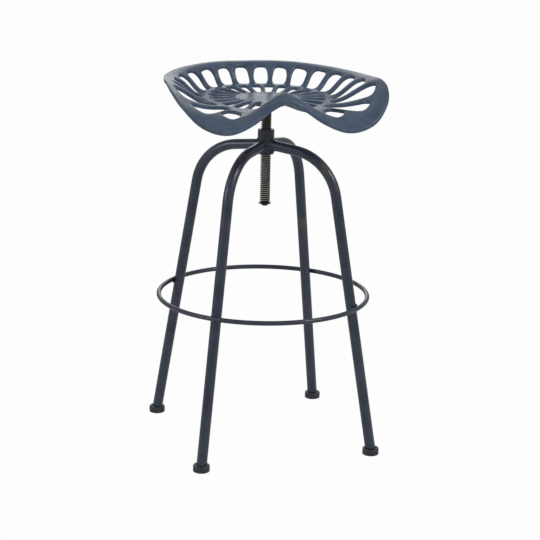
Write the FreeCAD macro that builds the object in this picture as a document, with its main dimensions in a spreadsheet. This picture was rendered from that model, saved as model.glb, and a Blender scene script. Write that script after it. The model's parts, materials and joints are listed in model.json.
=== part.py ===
import FreeCAD, Part
import math
import os
import Sketcher
from FreeCAD import Placement, Rotation, Vector

os.makedirs("parts", exist_ok=True)
doc = FreeCAD.newDocument("tractor_seat_stool")

# Driving dimensions, in millimetres and degrees, as cells of one sheet
dimensions = {
    "tube_dia": 20, "tube_wall": 1.5, "foot_circle": 244, "leg_splay": 10.35, "leg_bend": 99,
    "leg_drop": 6.3, "leg_root": 591, "leg_start": 4, "leg_end": 5, "cope_over": 5, "stand_turn": 5,
    "foot_dia": 32, "foot_tall": 13, "foot_bevel_wide": 5, "foot_bevel_tall": 4, "foot_edge": 2,
    "ring_rod": 9, "ring_height": 291, "ring_gap": 0.05,
    "weld_leg": 3, "weld_belly": 1.8, "bead_long": 6.6, "bead_rise": 0.4, "bead_inset": 0.3, "bead_room": 30,
    "collar_thick": 2.4, "collar_reach": 2.1, "collar_room": 40,
    "hub_dia": 32, "hub_base": 572, "hub_tall": 48, "hub_edge": 1, "hub_bore": 20.5,
    "screw_dia": 20, "screw_root": 15.5, "screw_pitch": 4, "screw_low": 476, "screw_high": 673,
    "screw_edge": 3, "groove_floor": 1.34, "groove_mouth": 2.68, "groove_over": 0.5,
    "tap_dia": 8, "tap_depth": 22,
    "washer_dia": 24, "washer_bore": 8.4, "washer_thick": 2.5,
    "head_dia": 14, "head_tall": 4.4, "head_round": 3.5, "socket_wide": 5, "socket_deep": 2.6,
    "stop_length": 20,
    "plate_dia": 80, "plate_thick": 4, "bolt_circle": 56, "bolt_dia": 6, "bolt_hole": 7, "bolt_length": 12,
    "bolt_head_wide": 10, "bolt_head_tall": 4,
    "lock_dia": 11.8, "lock_bore": 6.2, "lock_thick": 1.6, "lock_slit": 0.8,
    "seat_top": 682, "seat_thick": 7, "boss_dia": 18, "boss_hole_deep": 7,
    "disc_radius": 58, "band_inner": 112, "band_outer": 126, "brim_wide": 27,
    "slot_pitch": 15.4, "outer_rib": 9.5, "outer_near_round": 8, "outer_far_round": 11, "side_far_round": 18,
    "inner_rib": 8, "inner_start": 62, "inner_near_round": 3.5, "inner_far_round": 7,
    "thigh_hole_side": 98, "thigh_hole_front": 134, "thigh_hole_wide": 36, "thigh_hole_long": 46,
}
sheet = doc.addObject("Spreadsheet::Sheet", "sizes")
for row, (alias, value) in enumerate(dimensions.items(), start=1):
    sheet.set("A%d" % row, alias)
    sheet.set("B%d" % row, str(value))
    sheet.setAlias("B%d" % row, alias)
doc.recompute()


def size(alias):
    return float(getattr(sheet, alias))


subParts = []


def keep(thing, label, turn=0):
    # A finished sub-part: its label names its file, its placement turns it about the spindle
    thing.Label = label
    if turn:
        thing.Placement = Placement(Vector(), Rotation(Vector(0, 0, 1), turn))
    subParts.append(thing)
    return thing


def newBody(name):
    made = doc.addObject("PartDesign::Body", name)
    made.AllowCompound = True
    return made


def newSketch(owner, name, role="XY_Plane", height=None):
    plane = [item for item in owner.Origin.OriginFeatures if item.Role == role][0]
    sketch = owner.newObject("Sketcher::SketchObject", name)
    sketch.AttachmentSupport = (plane, "")
    sketch.MapMode = "FlatFace"
    if height:
        sketch.setExpression("AttachmentOffset.Base.z", height)
    return sketch


def addCircle(sketch, name, diameter, x="0", y="0"):
    # A circle whose diameter and centre follow the sheet
    index = sketch.addGeometry(Part.Circle(Vector(), Vector(0, 0, 1), 5), False)
    here = sketch.addConstraint(Sketcher.Constraint("Diameter", index, 10))
    sketch.renameConstraint(here, name)
    sketch.setExpression("Constraints." + name, diameter)
    if x == "0" and y == "0":
        sketch.addConstraint(Sketcher.Constraint("Coincident", index, 3, -1, 1))
        return index
    for kind, axis, text in (("DistanceX", "X", x), ("DistanceY", "Y", y)):
        here = sketch.addConstraint(Sketcher.Constraint(kind, -1, 1, index, 3, 0.0))
        sketch.renameConstraint(here, name + axis)
        sketch.setExpression("Constraints." + name + axis, text)
    return index


def addOutline(sketch, corners):
    # A closed outline of straight lines; each corner is a pair of expressions
    points = [Vector(sheetValue(x), sheetValue(y), 0) for x, y in corners]
    first = sketch.GeometryCount
    count = len(points)
    for i in range(count):
        sketch.addGeometry(Part.LineSegment(points[i], points[(i + 1) % count]), False)
    for i in range(count):
        sketch.addConstraint(Sketcher.Constraint("Coincident", first + i, 2, first + (i + 1) % count, 1))
    for i, corner in enumerate(corners):
        for kind, axis, text in (("DistanceX", "X", corner[0]), ("DistanceY", "Y", corner[1])):
            here = sketch.addConstraint(Sketcher.Constraint(kind, -1, 1, first + i, 1, sheetValue(text)))
            sketch.renameConstraint(here, "corner%d%s" % (first + i, axis))
            sketch.setExpression("Constraints.corner%d%s" % (first + i, axis), text)


def hexagon(across, middle):
    # Corners of a hexagon of one width across its flats, centred at (middle, 0)
    corners = []
    for i in range(6):
        angle = "%d deg" % (60 * i)
        corners.append(("%s + %s / 2 / cos(30 deg) * cos(%s)" % (middle, across, angle),
                        "%s / 2 / cos(30 deg) * sin(%s)" % (across, angle)))
    return corners


def sheetValue(expression):
    # The number that an expression of the sheet's cells has now
    value = sheet.evalExpression(expression.replace("sizes.", ""))
    return float(getattr(value, "Value", value))


def pad(owner, name, sketch, length, downward=False):
    made = owner.newObject("PartDesign::Pad", name)
    made.Profile = sketch
    made.setExpression("Length", length)
    made.Reversed = downward
    return made


def pocket(owner, name, sketch, depth, upward=False):
    made = owner.newObject("PartDesign::Pocket", name)
    made.Profile = sketch
    made.setExpression("Length", depth)
    made.Reversed = upward
    return made


def checkCut(owner, before):
    # A cut that points away from the solid removes nothing and reports no error
    doc.recompute()
    assert owner.Shape.Volume < before - 1, owner.Label


def revolve(owner, name, sketch):
    made = owner.newObject("PartDesign::Revolution", name)
    made.Profile = sketch
    made.ReferenceAxis = (sketch, ["V_Axis"])
    made.Angle = 360
    return made


def dress(owner, kind, name, base, extent, choose):
    # A chamfer or fillet on the edges of the feature that choose accepts
    doc.recompute()
    edges = ["Edge%d" % (i + 1) for i, edge in enumerate(base.Shape.Edges) if choose(edge)]
    made = owner.newObject("PartDesign::" + kind, name)
    made.Base = (base, edges)
    made.setExpression("Size" if kind == "Chamfer" else "Radius", extent)
    return made


def ringEdge(radius, height):
    # Picks the circular edges of one radius about the spindle axis at one height
    def choose(edge):
        curve = edge.Curve
        return (isinstance(curve, Part.Circle) and abs(curve.Radius - radius) < 0.01
                and abs(curve.Center.z - height) < 0.01)
    return choose


def around(owner, name, feature, count):
    # The feature repeated about the spindle axis
    made = owner.newObject("PartDesign::PolarPattern", name)
    made.Originals = [feature]
    axis = [item for item in owner.Origin.OriginFeatures if item.Role == "Z_Axis"][0]
    made.Axis = (axis, [""])
    made.Angle = 360
    made.Occurrences = count
    owner.Tip = made
    return made


# Legs: bent round tube, notched to the hub, splayed down to the foot caps
legPlaces = {"front_left": 225, "front_right": 315, "back_right": 45, "back_left": 135}


def legPath():
    # Corners of the centreline in the leg's own upright plane, as radius and height
    splay = math.tan(math.radians(size("leg_splay")))
    drop = math.tan(math.radians(size("leg_drop")))
    corner = (size("foot_circle") - size("leg_root") * splay) / (1 - splay * drop)
    turn = math.radians(90 - size("leg_splay") - size("leg_drop"))
    reach = size("leg_bend") * math.tan(turn / 2)
    run = Vector(math.cos(math.radians(size("leg_drop"))), -math.sin(math.radians(size("leg_drop"))), 0)
    fall = Vector(math.sin(math.radians(size("leg_splay"))), -math.cos(math.radians(size("leg_splay"))), 0)
    elbow = Vector(corner, size("leg_root") - corner * drop, 0)
    start, low = size("leg_start"), size("leg_end")
    return {
        "start": Vector(start, size("leg_root") - start * drop, 0),
        "bendIn": elbow - run * reach,
        "bendOut": elbow + fall * reach,
        "centre": elbow - run * reach + Vector(run.y, -run.x, 0) * size("leg_bend"),
        "end": Vector(size("foot_circle") - low * splay, low, 0),
    }


def bendSketch(owner, path):
    sketch = newSketch(owner, "centreline", "XZ_Plane")
    sketch.addGeometry(Part.LineSegment(path["start"], path["bendIn"]), False)
    circle = Part.Circle(path["centre"], Vector(0, 0, 1), size("leg_bend"))
    first = math.radians(size("leg_splay"))
    last = math.radians(90 - size("leg_drop"))
    sketch.addGeometry(Part.ArcOfCircle(circle, first, last), False)
    sketch.addGeometry(Part.LineSegment(path["bendOut"], path["end"]), False)
    sketch.addConstraint(Sketcher.Constraint("Tangent", 0, 2, 1, 2))
    sketch.addConstraint(Sketcher.Constraint("Tangent", 1, 1, 2, 1))
    named = (
        ("radius", Sketcher.Constraint("Radius", 1, size("leg_bend")), "sizes.leg_bend"),
        ("startX", Sketcher.Constraint("DistanceX", -1, 1, 0, 1, path["start"].x), "sizes.leg_start"),
        ("startY", Sketcher.Constraint("DistanceY", -1, 1, 0, 1, path["start"].y),
         "sizes.leg_root - sizes.leg_start * tan(sizes.leg_drop * 1 deg)"),
        ("slope", Sketcher.Constraint("Angle", 0, -math.radians(size("leg_drop"))), "-sizes.leg_drop"),
        ("endX", Sketcher.Constraint("DistanceX", -1, 1, 2, 2, path["end"].x),
         "sizes.foot_circle - sizes.leg_end * tan(sizes.leg_splay * 1 deg)"),
        ("endY", Sketcher.Constraint("DistanceY", -1, 1, 2, 2, path["end"].y), "sizes.leg_end"),
        ("splay", Sketcher.Constraint("Angle", 2, -math.radians(90 - size("leg_splay"))),
         "sizes.leg_splay - 90"),
    )
    for name, constraint, text in named:
        sketch.renameConstraint(sketch.addConstraint(constraint), name)
        sketch.setExpression("Constraints." + name, text)
    return sketch


def makeLeg(place, bearing):
    owner = newBody("leg_" + place)
    spine = bendSketch(owner, legPath())
    section = newSketch(owner, "tube_section", "YZ_Plane")
    section.AttachmentOffset = Placement(Vector(), Rotation(Vector(1, 0, 0), size("leg_drop")))
    section.setExpression("AttachmentOffset.Base.z", "sizes.leg_start")
    section.setExpression("AttachmentOffset.Base.y",
                          "sizes.leg_root - sizes.leg_start * tan(sizes.leg_drop * 1 deg)")
    section.setExpression("AttachmentOffset.Rotation.Angle", "sizes.leg_drop * 1 deg")
    addCircle(section, "outside", "sizes.tube_dia")
    addCircle(section, "inside", "sizes.tube_dia - 2 * sizes.tube_wall")
    doc.recompute()
    pipe = owner.newObject("PartDesign::AdditivePipe", "tube")
    pipe.Profile = section
    pipe.Spine = (spine, ["Edge1", "Edge2", "Edge3"])
    doc.recompute()
    whole = pipe.Shape.Volume
    notch = newSketch(owner, "hub_notch", height="sizes.hub_base - sizes.cope_over")
    addCircle(notch, "notch", "sizes.hub_dia")
    pocket(owner, "cope", notch, "sizes.hub_tall + 2 * sizes.cope_over", upward=True)
    checkCut(owner, whole)
    return keep(owner, "leg_" + place, bearing + size("stand_turn"))


for place, bearing in legPlaces.items():
    makeLeg(place, bearing)


# Foot caps: turned plastic cups, flat underneath, with a socket along the leaning tube
def makeFoot(place, bearing):
    owner = newBody("foot_cap_" + place)
    section = newSketch(owner, "cap_section", "XZ_Plane")
    middle = "sizes.foot_circle - sizes.foot_tall / 2 * tan(sizes.leg_splay * 1 deg)"
    section.setExpression("AttachmentOffset.Base.x", middle)
    edge = "sizes.foot_dia / 2"
    addOutline(section, [
        ("0", "0"),
        (edge + " - sizes.foot_edge", "0"),
        (edge, "sizes.foot_edge"),
        (edge, "sizes.foot_tall - sizes.foot_bevel_tall"),
        (edge + " - sizes.foot_bevel_wide", "sizes.foot_tall"),
        ("0", "sizes.foot_tall"),
    ])
    revolve(owner, "cap", section)
    doc.recompute()
    whole = owner.Shape.Volume
    mouth = newSketch(owner, "socket_mouth")
    mouth.AttachmentOffset = Placement(Vector(), Rotation(Vector(0, 1, 0), -size("leg_splay")))
    mouth.setExpression("AttachmentOffset.Rotation.Angle", "-sizes.leg_splay * 1 deg")
    mouth.setExpression("AttachmentOffset.Base.x",
                        "sizes.foot_circle - sizes.leg_end * tan(sizes.leg_splay * 1 deg)")
    mouth.setExpression("AttachmentOffset.Base.z", "sizes.leg_end")
    addCircle(mouth, "socket", "sizes.tube_dia")
    pocket(owner, "tube_socket", mouth, "sizes.foot_tall * 2", upward=True)
    checkCut(owner, whole)
    return keep(owner, "foot_cap_" + place, bearing + size("stand_turn"))


for place, bearing in legPlaces.items():
    makeFoot(place, bearing)


# Hub: turned steel sleeve that carries the screw
def makeHub():
    owner = newBody("hub")
    section = newSketch(owner, "sleeve", height="sizes.hub_base")
    addCircle(section, "outside", "sizes.hub_dia")
    addCircle(section, "bore", "sizes.hub_bore")
    sleeve = pad(owner, "sleeve_pad", section, "sizes.hub_tall")
    top = size("hub_base") + size("hub_tall")
    upper = dress(owner, "Chamfer", "top_edge", sleeve, "sizes.hub_edge", ringEdge(size("hub_dia") / 2, top))
    dress(owner, "Chamfer", "low_edge", upper, "sizes.hub_edge / 2",
          ringEdge(size("hub_dia") / 2, size("hub_base")))
    return keep(owner, "hub")


makeHub()


# Footrest: one round rod bent to a hoop that touches the outside of all four legs
ring = doc.addObject("Part::Torus", "footrest_ring")
ring.setExpression("Radius1", "sizes.foot_circle - sizes.ring_height * tan(sizes.leg_splay * 1 deg)"
                   " + (sizes.tube_dia + sizes.ring_rod) / 2 / cos(sizes.leg_splay * 1 deg) + sizes.ring_gap")
ring.setExpression("Radius2", "sizes.ring_rod / 2")
ring.setExpression("Placement.Base.z", "sizes.ring_height")
keep(ring, "footrest_ring")
doc.recompute()


def leaningRod(name, diameter, place, low, length):
    # A round bar on one leg's straight lower axis
    rod = doc.addObject("Part::Cylinder", name)
    rod.setExpression("Radius", diameter)
    rod.Height = length
    foot = Vector(size("foot_circle") - low * math.tan(math.radians(size("leg_splay"))), 0, low)
    lean = Placement(foot, Rotation(Vector(0, 1, 0), -size("leg_splay")))
    turn = Placement(Vector(), Rotation(Vector(0, 0, 1), legPlaces[place] + size("stand_turn")))
    rod.Placement = turn.multiply(lean)
    return rod


def cutAway(name, base, tool):
    made = doc.addObject("Part::Cut", name)
    made.Base = base
    made.Tool = tool
    return made


# Weld beads in the two corners between the footrest rod and each leg
def makeRingWelds():
    beads = []
    for place, bearing in legPlaces.items():
        blobs = []
        for side in (-1, 1):
            blob = doc.addObject("Part::Ellipsoid", "bead")
            blob.setExpression("Radius1", "sizes.weld_leg")
            blob.setExpression("Radius2", "sizes.weld_leg")
            blob.setExpression("Radius3", "sizes.bead_long")
            height = size("ring_height") + side * (size("ring_rod") / 2 + size("bead_rise"))
            reach = ring.Radius1.Value - size("ring_rod") / 2 - size("bead_inset")
            reach -= side * size("ring_rod") / 2 * math.tan(math.radians(size("leg_splay")))
            spot = Placement(Vector(reach, 0, height), Rotation(0, -size("leg_splay"), 0))
            turn = Placement(Vector(), Rotation(Vector(0, 0, 1), bearing + size("stand_turn")))
            blob.Placement = turn.multiply(spot)
            blobs.append(blob)
        pair = doc.addObject("Part::MultiFuse", "bead_pair")
        pair.Shapes = blobs
        offRing = cutAway("bead_off_ring", pair, ring)
        rod = leaningRod("leg_room", "sizes.tube_dia / 2", place,
                         size("ring_height") - size("bead_room"), 2 * size("bead_room"))
        beads.append(cutAway("ring_bead", offRing, rod))
    group = doc.addObject("Part::Compound", "ring_welds")
    group.Links = beads
    return keep(group, "ring_welds")


makeRingWelds()


def runRod(name, radius, bearing, length):
    # A round bar on one leg's top run, starting inside the hub
    rod = doc.addObject("Part::Cylinder", name)
    rod.setExpression("Radius", radius)
    rod.Height = length
    start = Vector(legPath()["start"].x, 0, legPath()["start"].y)
    lie = Placement(start, Rotation(Vector(0, 1, 0), 90 + size("leg_drop")))
    turn = Placement(Vector(), Rotation(Vector(0, 0, 1), bearing + size("stand_turn")))
    rod.Placement = turn.multiply(lie)
    return rod


# Weld collars where the legs are notched to the hub
def makeHubWelds():
    collars = []
    for place, bearing in legPlaces.items():
        jacket = runRod("weld_jacket", "sizes.tube_dia / 2 + sizes.collar_thick", bearing,
                        size("collar_room"))
        drum = doc.addObject("Part::Cylinder", "weld_drum")
        drum.setExpression("Radius", "sizes.hub_dia / 2 + sizes.collar_reach")
        drum.setExpression("Height", "sizes.hub_tall - 4 * sizes.hub_edge")
        drum.setExpression("Placement.Base.z", "sizes.hub_base + 2 * sizes.hub_edge")
        zone = doc.addObject("Part::MultiCommon", "weld_zone")
        zone.Shapes = [jacket, drum]
        core = doc.addObject("Part::Cylinder", "hub_room")
        core.setExpression("Radius", "sizes.hub_dia / 2")
        core.setExpression("Height", "sizes.hub_tall + 2 * sizes.cope_over")
        core.setExpression("Placement.Base.z", "sizes.hub_base - sizes.cope_over")
        offHub = cutAway("weld_off_hub", zone, core)
        room = runRod("tube_room", "sizes.tube_dia / 2", bearing, size("collar_room") + size("cope_over"))
        collars.append(cutAway("hub_collar", offHub, room))
    group = doc.addObject("Part::MultiFuse", "hub_welds")
    group.Shapes = collars
    return keep(group, "hub_welds")


makeHubWelds()


# Screw: trapezoidal thread, one start, right hand, with a tapped hole in its lower end
def makeSpindle():
    owner = newBody("spindle")
    section = newSketch(owner, "bar", height="sizes.screw_low")
    addCircle(section, "crest", "sizes.screw_dia")
    bar = pad(owner, "bar_pad", section, "sizes.screw_high - sizes.screw_low")
    lower = dress(owner, "Chamfer", "low_edge", bar, "sizes.screw_edge",
                  ringEdge(size("screw_dia") / 2, size("screw_low")))
    doc.recompute()
    before = lower.Shape.Volume
    groove = newSketch(owner, "groove_section", "XZ_Plane")
    root, crest = "sizes.screw_root / 2", "sizes.screw_dia / 2 + sizes.groove_over"
    narrow, wide = "sizes.groove_floor / 2", "sizes.groove_mouth / 2"
    base = "sizes.screw_low - sizes.screw_pitch"
    addOutline(groove, [
        (root, base + " - " + narrow), (crest, base + " - " + wide),
        (crest, base + " + " + wide), (root, base + " + " + narrow),
    ])
    thread = owner.newObject("PartDesign::SubtractiveHelix", "thread")
    thread.Profile = groove
    thread.ReferenceAxis = (groove, ["V_Axis"])
    thread.Mode = 0
    thread.setExpression("Pitch", "sizes.screw_pitch")
    thread.setExpression("Height", "sizes.screw_high - sizes.screw_low - sizes.screw_pitch * 2")
    thread.LeftHanded = False
    checkCut(owner, before)
    whole = owner.Shape.Volume
    tap = newSketch(owner, "tap", height="sizes.screw_low")
    addCircle(tap, "tapped", "sizes.tap_dia")
    pocket(owner, "tapped_hole", tap, "sizes.tap_depth", upward=True)
    checkCut(owner, whole)
    return keep(owner, "spindle")


makeSpindle()


# Stop washer: loose on the stop screw, held up against the end of the screw bar
def makeStopWasher():
    owner = newBody("stop_washer")
    section = newSketch(owner, "washer", height="sizes.screw_low - sizes.washer_thick")
    addCircle(section, "outside", "sizes.washer_dia")
    addCircle(section, "bore", "sizes.washer_bore")
    pad(owner, "washer_pad", section, "sizes.washer_thick")
    return keep(owner, "stop_washer")


# Stop screw: button head with a hexagon socket
def makeStopScrew():
    owner = newBody("stop_screw")
    under = "sizes.screw_low - sizes.washer_thick"
    section = newSketch(owner, "head", height=under)
    addCircle(section, "head_outside", "sizes.head_dia")
    head = pad(owner, "head_pad", section, "sizes.head_tall", downward=True)
    low = size("screw_low") - size("washer_thick") - size("head_tall")
    dress(owner, "Fillet", "dome", head, "sizes.head_round", ringEdge(size("head_dia") / 2, low))
    shank = newSketch(owner, "shank", height=under)
    addCircle(shank, "shank_outside", "sizes.tap_dia")
    pad(owner, "shank_pad", shank, "sizes.stop_length")
    doc.recompute()
    whole = owner.Shape.Volume
    mouth = newSketch(owner, "socket_outline", height=under + " - sizes.head_tall")
    addOutline(mouth, hexagon("sizes.socket_wide", "0"))
    pocket(owner, "hexagon_socket", mouth, "sizes.socket_deep", upward=True)
    checkCut(owner, whole)
    return keep(owner, "stop_screw")


makeStopWasher()
makeStopScrew()


boltCount = 4


# Mounting plate: round plate on the head of the screw, drilled for four bolts
def makePlate():
    owner = newBody("mount_plate")
    base = "sizes.screw_high - sizes.plate_thick"
    section = newSketch(owner, "disc", height=base)
    addCircle(section, "outside", "sizes.plate_dia")
    addCircle(section, "screw_seat", "sizes.screw_dia")
    disc = pad(owner, "disc_pad", section, "sizes.plate_thick")
    lower = dress(owner, "Chamfer", "rim_edge", disc, "sizes.hub_edge",
                  ringEdge(size("plate_dia") / 2, size("screw_high") - size("plate_thick")))
    doc.recompute()
    whole = lower.Shape.Volume
    drill = newSketch(owner, "drill", height=base)
    addCircle(drill, "bolt_way", "sizes.bolt_hole", "sizes.bolt_circle / 2")
    hole = pocket(owner, "bolt_hole_cut", drill, "sizes.plate_thick", upward=True)
    around(owner, "bolt_holes", hole, boltCount)
    checkCut(owner, whole)
    return keep(owner, "mount_plate")


def makeSpindleWeld():
    owner = newBody("spindle_weld")
    section = newSketch(owner, "fillet_section", "XZ_Plane")
    under = "sizes.screw_high - sizes.plate_thick"
    addOutline(section, [
        ("sizes.screw_dia / 2", under),
        ("sizes.screw_dia / 2", under + " - sizes.weld_leg"),
        ("sizes.screw_dia / 2 + sizes.weld_belly", under + " - sizes.weld_belly"),
        ("sizes.screw_dia / 2 + sizes.weld_leg", under),
    ])
    revolve(owner, "fillet_bead", section)
    return keep(owner, "spindle_weld")


makePlate()
makeSpindleWeld()


# Four hexagon bolts and split lock washers, up through the plate into the casting's bosses
def makeBolts():
    owner = newBody("seat_bolts")
    under = "sizes.screw_high - sizes.plate_thick - sizes.lock_thick"
    x = "sizes.bolt_circle / 2"
    head = newSketch(owner, "head", height=under)
    addOutline(head, hexagon("sizes.bolt_head_wide", x))
    block = pad(owner, "head_pad", head, "sizes.bolt_head_tall", downward=True)
    shank = newSketch(owner, "shank", height=under)
    addCircle(shank, "shank_outside", "sizes.bolt_dia", x)
    stem = pad(owner, "shank_pad", shank, "sizes.bolt_length")
    pattern = around(owner, "bolt_ring", stem, boltCount)
    pattern.Originals = [block, stem]
    doc.recompute()
    assert len(owner.Shape.Solids) == boltCount
    return keep(owner, "seat_bolts")


def makeLockWashers():
    owner = newBody("lock_washers")
    base = "sizes.screw_high - sizes.plate_thick - sizes.lock_thick"
    x = "sizes.bolt_circle / 2"
    section = newSketch(owner, "coil", height=base)
    addCircle(section, "outside", "sizes.lock_dia", x)
    addCircle(section, "bore", "sizes.lock_bore", x)
    coil = pad(owner, "coil_pad", section, "sizes.lock_thick")
    doc.recompute()
    whole = coil.Shape.Volume
    slit = newSketch(owner, "slit_outline", height=base)
    addOutline(slit, [
        (x + " + sizes.lock_bore / 4", "-sizes.lock_slit / 2"),
        (x + " + sizes.lock_dia", "-sizes.lock_slit / 2"),
        (x + " + sizes.lock_dia", "sizes.lock_slit / 2"),
        (x + " + sizes.lock_bore / 4", "sizes.lock_slit / 2"),
    ])
    gap = pocket(owner, "slit", slit, "sizes.lock_thick", upward=True)
    pattern = around(owner, "washer_ring", gap, boltCount)
    pattern.Originals = [coil, gap]
    checkCut(owner, whole * boltCount)
    assert len(owner.Shape.Solids) == boltCount
    return keep(owner, "lock_washers")


makeBolts()
makeLockWashers()


# Seat casting. Each station: angle from the back, rim radius, the heights above the centre disc of
# the band between the two rows of slots, of the brim's inner edge and of the rim, and how far the
# outer slots end short of the rim
seatStations = (
    (0, 178, 7.5, 40.5, 46.5, 25), (25, 178, 7.5, 40.5, 47, 25), (50, 189, 5, 37.5, 42.5, 24),
    (75, 195, 2.5, 33.5, 39.5, 22), (95, 203, 1, 32, 40.5, 19), (110, 219.5, -1, 31, 42, 20),
    (120, 237, -3, 22, 34, 22), (130, 251.5, -5, 6, 13, 38), (140, 248, -6, -11, -19.5, 38),
    (150, 224.5, -7, -19, -32.5, 38), (160, 199, -3, 0, -17, 38), (170, 181, 12, 20, 7.5, 38),
    (180, 178, 24, 32, 21, 38),
)


def blend(low, high, slopeLow, slopeHigh, span, part):
    # Cubic from low to high with given end slopes; part runs from 0 to 1 across the span
    rest = 1 - part
    return (low * (1 + 2 * part) * rest * rest + slopeLow * span * part * rest * rest
            + high * part * part * (3 - 2 * part) - slopeHigh * span * part * part * rest)


def stationTrack(column):
    # One column of the stations, mirrored to run all the way round
    half = [(row[0], row[column]) for row in seatStations]
    track = [(-angle, value) for angle, value in reversed(half[1:])] + half
    return track + [(360 - angle, value) for angle, value in reversed(half[:-1])]


rimTrack, bandTrack, brimTrack, edgeTrack, marginTrack = (stationTrack(column) for column in range(1, 6))


def readTrack(track, angle):
    i = max(n for n in range(1, len(track) - 2) if track[n][0] <= angle)

    def rise(n):
        before = (track[n][1] - track[n - 1][1]) / (track[n][0] - track[n - 1][0])
        after = (track[n + 1][1] - track[n][1]) / (track[n + 1][0] - track[n][0])
        left, right = track[n][0] - track[n - 1][0], track[n + 1][0] - track[n][0]
        return (before * right + after * left) / (left + right)

    span = track[i + 1][0] - track[i][0]
    return blend(track[i][1], track[i + 1][1], rise(i), rise(i + 1), span, (angle - track[i][0]) / span)


skinOver = 15.0     # how far past the rim the skin keeps sloping
skinStep = 7.0
skinHalf = 33       # steps from the middle to the skin's edge
outlineStep = 5
outlinePieces = 12  # faces round the rim
blankDeep = 120.0
cutterReach = 90.0
outerSlots = 9      # to each side
innerSlots = 10     # to each side of the one at the back


def seatHeight(radius, angle):
    # Height of the sitting surface above the centre disc
    rim, band, brim, edge = (readTrack(track, abs(angle))
                             for track in (rimTrack, bandTrack, brimTrack, edgeTrack))
    brimIn = rim - size("brim_wide")
    wall = (brim - band) / (brimIn - size("band_outer"))
    lip = (edge - brim) / (rim - brimIn)
    corner = (wall + lip) / 2
    if radius < size("disc_radius"):
        return 0.0
    if radius < size("band_inner"):
        span = size("band_inner") - size("disc_radius")
        return blend(0, band, 0, 0, span, (radius - size("disc_radius")) / span)
    if radius < size("band_outer"):
        return band
    if radius < brimIn:
        span = brimIn - size("band_outer")
        return blend(band, brim, 0, corner, span, (radius - size("band_outer")) / span)
    last = lip + (lip - corner) / 2
    if radius < rim:
        return blend(brim, edge, corner, last, rim - brimIn, (radius - brimIn) / (rim - brimIn))
    return edge + last * min(radius - rim, skinOver)


def polar(radius, angle, height=0.0):
    # Angle from the back, positive to the stool's left as it faces the front
    turn = math.radians(angle)
    return Vector(radius * math.sin(turn), radius * math.cos(turn), height)


def heightAt(x, y):
    return seatHeight(math.hypot(x, y), math.degrees(math.atan2(x, y)))


def seatSkin(drop):
    # The sitting surface, or the one the casting's thickness below it, past the outline on all sides
    rows = []
    for i in range(-skinHalf, skinHalf + 1):
        row = []
        for j in range(-skinHalf, skinHalf + 1):
            x, y = i * skinStep, j * skinStep
            z = heightAt(x, y)
            slopeX = (heightAt(x + 1, y) - heightAt(x - 1, y)) / 2
            slopeY = (heightAt(x, y + 1) - heightAt(x, y - 1)) / 2
            normal = Vector(-slopeX, -slopeY, 1).normalize()
            row.append(Vector(x, y, size("seat_top") + z) - normal * drop)
        rows.append(row)
    surface = Part.BSplineSurface()
    surface.interpolate(rows)
    return surface.toShape()


def outlinePrism():
    points = [polar(readTrack(rimTrack, abs(angle)), angle, size("seat_top") - cutterReach)
              for angle in range(-180, 180, outlineStep)]
    curve = Part.BSplineCurve()
    curve.interpolate(Points=points, PeriodicFlag=True)
    first, last = curve.FirstParameter, curve.LastParameter
    stops = [first + (last - first) * i / outlinePieces for i in range(outlinePieces + 1)]
    edges = [curve.toShape(start, stop) for start, stop in zip(stops, stops[1:])]
    return Part.Face(Part.Wire(edges)).extrude(Vector(0, 0, 2 * cutterReach))


def slotCutter(middle, inner, outer, rib, roundIn, roundOut):
    # Upright cutter between two ribs of even width, with rounded ends
    def halfAngle(radius):
        return size("slot_pitch") / 2 - math.degrees(math.asin(rib / 2 / radius))

    floor = size("seat_top") - cutterReach
    corners = [polar(radius, middle + side * halfAngle(radius), floor)
               for radius, side in ((inner, -1), (inner, 1), (outer, 1), (outer, -1))]
    prism = Part.Face(Part.makePolygon(corners + corners[:1])).extrude(Vector(0, 0, 2 * cutterReach))

    def upright(shape, far):
        # The straight upright edges at one end of the slot
        return [edge for edge in shape.Edges
                if abs(edge.Length - 2 * cutterReach) < 0.01
                and any(abs(edge.CenterOfMass.x - corner.x) + abs(edge.CenterOfMass.y - corner.y) < 0.01
                        for corner in (corners[2:] if far else corners[:2]))]

    prism = prism.makeFillet(roundIn, upright(prism, False))
    return prism.makeFillet(roundOut, upright(prism, True))


def thighCutter(side):
    # Oval hole at the foot of each thigh dip, longer from front to back
    floor = size("seat_top") - cutterReach
    middle = Vector(side * size("thigh_hole_side"), -size("thigh_hole_front"), floor)
    front = middle + Vector(0, size("thigh_hole_long") / 2, 0)
    flank = middle + Vector(size("thigh_hole_wide") / 2, 0, 0)
    oval = Part.Ellipse(front, flank, middle)
    return Part.Face(Part.Wire(oval.toShape())).extrude(Vector(0, 0, 2 * cutterReach))


def seatCutters():
    cutters = []
    for side in (-1, 1):
        for i in range(outerSlots):
            middle = size("slot_pitch") * (i + 0.5)
            outer = readTrack(rimTrack, middle) - readTrack(marginTrack, middle)
            farRound = size("side_far_round" if i == outerSlots - 1 else "outer_far_round")
            cutters.append(slotCutter(side * middle, size("band_outer"), outer, size("outer_rib"),
                                      size("outer_near_round"), farRound))
        cutters.append(thighCutter(side))
    for j in range(-innerSlots, innerSlots + 1):
        cutters.append(slotCutter(j * size("slot_pitch"), size("inner_start"), size("band_inner"),
                                  size("inner_rib"), size("inner_near_round"), size("inner_far_round")))
    return cutters


def boltSpots(height):
    return [polar(size("bolt_circle") / 2, 360 / boltCount * i, height) for i in range(boltCount)]


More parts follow.
